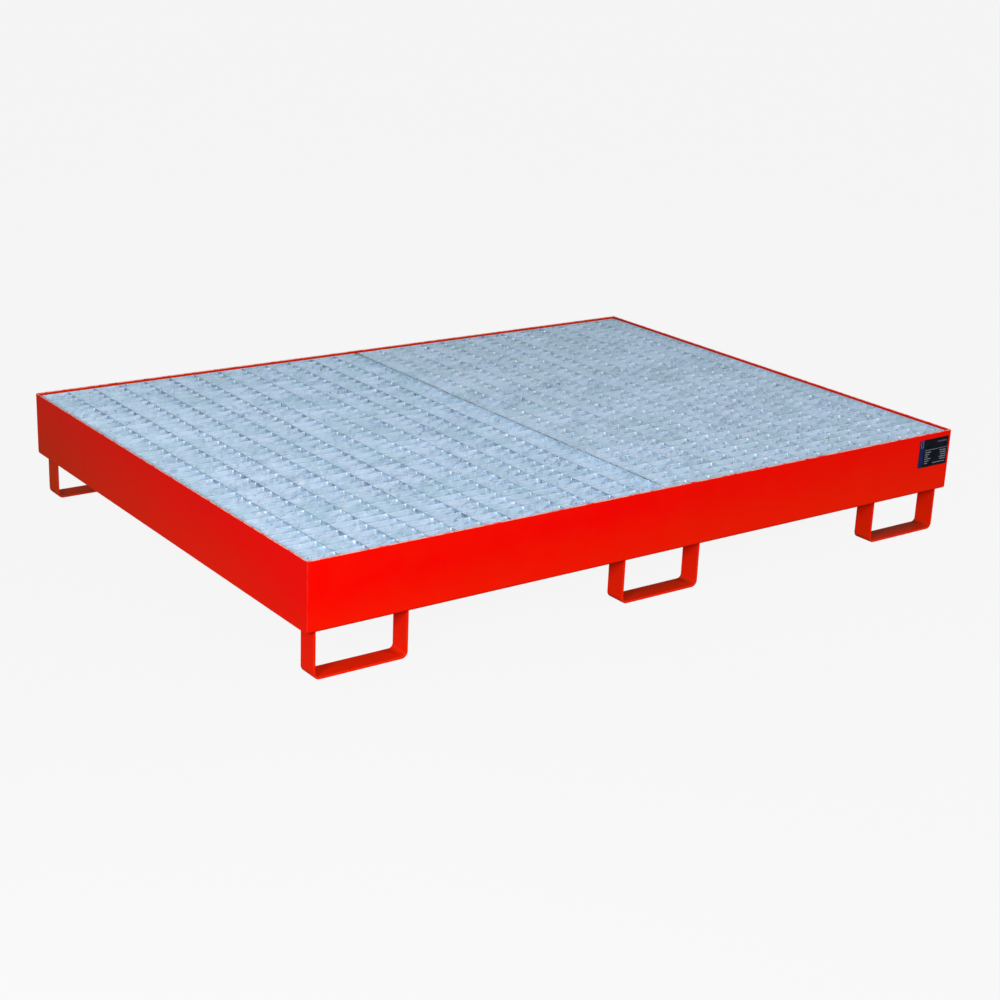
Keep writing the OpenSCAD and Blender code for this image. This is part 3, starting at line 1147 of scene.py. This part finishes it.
# %% Geometry tree: crossings on a grid
def make_crossing_tree():
    tree, entry, result = new_group(
        "crossings", "GeometryNodeTree",
        [("Crossing", "NodeSocketObject", None), ("Columns", INT, 12), ("Rows", INT, 38),
         ("Column Pitch", FLOAT, 0.06), ("Row Pitch", FLOAT, 0.03), ("Centre", VECTOR, None),
         ("Tone Low", FLOAT, 0.6), ("Tone High", FLOAT, 2.0), ("Seed", INT, 0),
         ("Finish", MATERIAL, None)],
        [("Zinc", GEOMETRY)])
    item = entry.outputs
    sizes = [multiply(tree, math_node(tree, "SUBTRACT", item[count], 1.0), item[pitch])
             for count, pitch in (("Columns", "Column Pitch"), ("Rows", "Row Pitch"))]
    grid = node(tree, "GeometryNodeMeshGrid", {
        "Size X": sizes[0], "Size Y": sizes[1],
        "Vertices X": item["Columns"], "Vertices Y": item["Rows"]})
    points = node(tree, "GeometryNodeMeshToPoints", {0: grid.outputs[0]})
    fillets, drops = fillets_on(tree, item, points), drops_on(tree, item, points)
    both = node(tree, "GeometryNodeJoinGeometry")
    for part, low, high in ((fillets, item["Tone Low"], item["Tone High"]), (drops, 0.3, 1.1)):
        tone = node(tree, "FunctionNodeRandomValue", {
            "Min": low, "Max": high, "Seed": item["Seed"]}, data_type="FLOAT")
        toned = node(tree, "GeometryNodeStoreNamedAttribute", {
            "Geometry": part.outputs[0], "Name": "tone", "Value": tone.outputs[1]},
            data_type="FLOAT", domain="INSTANCE")
        tree.links.new(toned.outputs[0], both.inputs[0])
    solid = node(tree, "GeometryNodeRealizeInstances", {0: both.outputs[0]})
    smooth = node(tree, "GeometryNodeSetShadeSmooth", {0: solid.outputs[0]})
    finished = finish_tree(tree, item, smooth)
    tree.links.new(finished.outputs[0], result.inputs["Zinc"])
    return tree


crossing_tree = make_crossing_tree()
print("tree", crossing_tree.name)

# %% Put zinc on every crossing
# Tones above one give the fillets a painted highlight.
for side, body, seed, highlight_tones in (("left", LEFT, 31, (0.8, 2.1)), ("right", RIGHT, 47, (1.2, 2.5))):
    low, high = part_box(f"{side}_cross_bars")
    centre = Vector(((low.x + high.x) / 2, (low.y + high.y) / 2, grating_top - cross_sink))
    fillets = grow(f"{side}_panel_zinc_fillets", crossing_tree, {
        "Crossing": crossing, "Columns": len(left_columns), "Rows": len(bearing_rows),
        "Column Pitch": cross_pitch, "Row Pitch": bearing_pitch, "Centre": centre,
        "Tone Low": highlight_tones[0], "Tone High": highlight_tones[1], "Seed": seed, "Finish": zinc[body]})
    stand_for(fillets, body, "zinc")
    print(fillets.name, len(fillets.data.polygons), "faces")
bpy.data.objects.remove(crossing)

# %% [markdown]
# ## The data plate
# A thin printed plate is stuck to the front wall near its right end. What it says isn't
# part of this model, so its fields are plain ruled bars. The print lies in the plate's
# own front face: the face is cut along the edges of every field, and each small face
# takes the ink that covers it. That stays crisp at any distance and needs no image.


# %% Inks of the data plate
def make_ink(name, colour, roughness):
    made, tree, shader = new_material(name)
    haze = place_group(tree, clouds, Scale=60.0, Detail=4.0).outputs["Value"]
    faded = mix_colour(tree, multiply(tree, haze, 0.25), colour,
                       tuple(min(1.0, c * 1.6 + 0.01) for c in colour[:3]) + (1,))
    tree.links.new(faded, shader.inputs["Base Color"])
    tree.links.new(math_node(tree, "MULTIPLY_ADD", haze, 0.12, roughness),
                   shader.inputs["Roughness"])
    shader.inputs["Specular IOR Level"].default_value = 0.08
    bump(tree, shader, haze, 0.02 * MM)
    return made


inks = {
    "black": make_ink("plate_black", (0.0035, 0.0045, 0.0080, 1), 0.30),
    "blue": make_ink("plate_blue", (0.0040, 0.0160, 0.0700, 1), 0.30),
    "pale": make_ink("plate_pale", (0.17, 0.19, 0.22, 1), 0.35),
    "grey": make_ink("plate_grey", (0.060, 0.070, 0.090, 1), 0.35),
}
print("inks", list(inks))


# %% Lay out the fields and make the plate
def plate_fields():
    """Printed fields as (ink, left, bottom, right, top) in shares of the plate's face."""
    fields = [("blue", 0.0, 0.0, 0.15, 1.0)]
    frame_line = 0.012
    left, bottom, right, top = 0.04, 0.73, 0.13, 0.97
    fields += [("pale", left, bottom, right, top),
               ("blue", left + frame_line, bottom + frame_line, right - frame_line,
                top - frame_line)]
    fields += [("grey", 0.62, 0.84, 0.94, 0.89), ("pale", 0.20, 0.600, 0.97, 0.618)]
    row_count, row_top, row_step, row_height = 6, 0.54, 0.078, 0.03
    for i in range(row_count):
        top = row_top - i * row_step
        short = 0.05 * (i % 3)
        fields.append(("pale", 0.21, top - row_height, 0.42 - short, top))
        if i < row_count - 1:
            fields.append(("pale", 0.72 + short / 2, top - row_height, 0.95, top))
    fields.append(("pale", 0.50, 0.10, 0.94, 0.125))
    return fields


def data_plate():
    low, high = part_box("data_plate")
    size = high - low
    fields = plate_fields()
    names = list(inks)
    us = sorted({0.0, 1.0} | {round(f[i], 4) for f in fields for i in (1, 3)})
    vs = sorted({0.0, 1.0} | {round(f[i], 4) for f in fields for i in (2, 4)})
    bm = bmesh.new()
    grid = [[bm.verts.new((low.x + u * size.x, low.y, low.z + v * size.z)) for u in us] for v in vs]
    rear = [bm.verts.new((x, high.y, z)) for x, z in (
        (low.x, low.z), (high.x, low.z), (high.x, high.z), (low.x, high.z))]
    for j in range(len(vs) - 1):
        for i in range(len(us) - 1):
            face = bm.faces.new((grid[j][i], grid[j][i + 1], grid[j + 1][i + 1], grid[j + 1][i]))
            u, v = (us[i] + us[i + 1]) / 2, (vs[j] + vs[j + 1]) / 2
            covering = [f[0] for f in fields if f[1] < u < f[3] and f[2] < v < f[4]]
            face.material_index = names.index(covering[-1] if covering else "black")
    bottom, top = grid[0], grid[-1]
    left, right = [r[0] for r in grid], [r[-1] for r in grid]
    bm.faces.new([rear[0], rear[1]] + bottom[::-1])
    bm.faces.new([rear[2], rear[3]] + top)
    bm.faces.new([rear[3], rear[0]] + left)
    bm.faces.new([rear[1], rear[2]] + right[::-1])
    bm.faces.new(rear[::-1])
    bmesh.ops.recalc_face_normals(bm, faces=bm.faces)
    made = add_object("printed_data_plate", to_mesh("printed_data_plate", bm))
    for ink in inks.values():
        made.data.materials.append(ink)
    return made


plate = stand_for(data_plate(), TRAY, "printed_plate", "data_plate")
print(plate.name, len(plate.data.polygons), "faces")

# %% [markdown]
# ## Studio
# A pale floor runs out to the horizon under a pale sky, so that the object stands free.
# Floor and sky glow for the camera only, which keeps the backdrop even without flooding
# the object with light. Three round softboxes stand low on the camera's side, so that no
# shadow falls into the gratings' visible faces. Two wide, low fills light the right end
# and the rear. From below, the floor is clear and shows the object's underside.


# %% Floor
backdrop, sky_light = 0.922, 0.19
floor_glow, floor_light = 0.90, 0.15
floor_reach, floor_gap = 60.0, 0.5 * MM


def glow(tree, seen_strength, light_strength):
    """One strength for the camera's own rays, and another for the light on the object."""
    seen = node(tree, "ShaderNodeLightPath").outputs["Is Camera Ray"]
    return math_node(tree, "MULTIPLY_ADD", seen, seen_strength - light_strength, light_strength)


def floor_finish():
    made, tree, shader = new_material("studio_floor")
    drift = place_group(tree, clouds, Scale=0.6, Detail=2.0).outputs["Value"]
    tree.links.new(mix_colour(tree, drift, (0.029, 0.029, 0.029, 1), (0.031, 0.031, 0.031, 1)),
                   shader.inputs["Base Color"])
    tree.links.new(glow(tree, floor_glow, floor_light), shader.inputs["Emission Strength"])
    shader.inputs["Emission Color"].default_value = (1, 1, 1, 1)
    shader.inputs["Roughness"].default_value = 0.9
    shader.inputs["Specular IOR Level"].default_value = 0.0
    clear = node(tree, "ShaderNodeBsdfTransparent")
    below = node(tree, "ShaderNodeNewGeometry").outputs["Backfacing"]
    both = node(tree, "ShaderNodeMixShader", {
        0: below, 1: shader.outputs[0], 2: clear.outputs[0]})
    tree.links.new(both.outputs[0], tree.nodes["Material Output"].inputs["Surface"])
    return made


def make_floor():
    mesh = bpy.data.meshes.new("studio_floor")
    corners = [(x * floor_reach, y * floor_reach, -floor_gap)
               for x, y in ((-1, -1), (1, -1), (1, 1), (-1, 1))]
    mesh.from_pydata(corners, [], [(0, 1, 2, 3)])
    mesh.materials.append(floor_finish())
    floor = add_object("studio_floor", mesh)
    floor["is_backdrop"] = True
    return floor


print(make_floor().name, "glows at", floor_glow)


# %% Sky and lamps
def make_sky():
    sky = bpy.data.worlds.new("studio_sky")
    bpy.context.scene.world = sky
    sky.use_nodes = True
    tree = sky.node_tree
    background = tree.nodes["Background"].inputs
    tree.links.new(glow(tree, backdrop, sky_light), background["Strength"])
    background["Color"].default_value = (1, 1, 1, 1)


def make_lamp(name, kind, energy, location, target, **settings):
    """A lamp that looks at a point."""
    lamp = bpy.data.lights.new(name, kind)
    lamp.energy = energy
    for option, value in settings.items():
        setattr(lamp, option, value)
    made = add_object(name, lamp)
    made.location = location
    made.rotation_euler = (Vector(target) - made.location).to_track_quat("-Z", "Y").to_euler()


make_sky()
for name, energy, location in (
        ("near_softbox", 77.0, (-2.5, -3.5, 1.6)),
        ("left_softbox", 62.0, (-3.3, -2.2, 1.5)),
        ("right_softbox", 74.0, (1.8, -3.9, 2.1))):
    make_lamp(name, "AREA", energy, location, (0, 0, 0.15), shape="DISK", size=0.9)
for name, location in (("right_fill", (3.0, 0.3, 0.5)), ("rear_fill", (-0.8, 3.0, 0.5))):
    make_lamp(name, "SUN", 1.3, location, (0, 0, 0), angle=math.radians(40))
bpy.context.scene.view_settings.view_transform = "Standard"

# %% [markdown]
# ## Camera
# A short telephoto view from the front left, looking a little down, with the slight roll
# of a hand-held camera.

# %% Place the camera
camera_place = Vector((-2.536, -3.454, 1.509))
camera_heading = math.radians(36.571)
camera_pitch = math.radians(-19.063)
camera_roll = math.radians(2.465)

camera = add_object("camera", bpy.data.cameras.new("camera"))
camera.data.lens = 66.27
camera.data.sensor_width = 36.0
camera.data.clip_end = 200.0
camera.location = camera_place
camera.rotation_euler = (
    Matrix.Rotation(-camera_heading, 3, "Z")
    @ Matrix.Rotation(math.pi / 2 + camera_pitch, 3, "X")
    @ Matrix.Rotation(camera_roll, 3, "Z")).to_euler()
bpy.context.scene.camera = camera
print("camera at", [round(c, 3) for c in camera.location])

# %% Print the visual box and finish
low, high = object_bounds()
print("visual box in mm:", [round(c / MM, 1) for c in high - low])
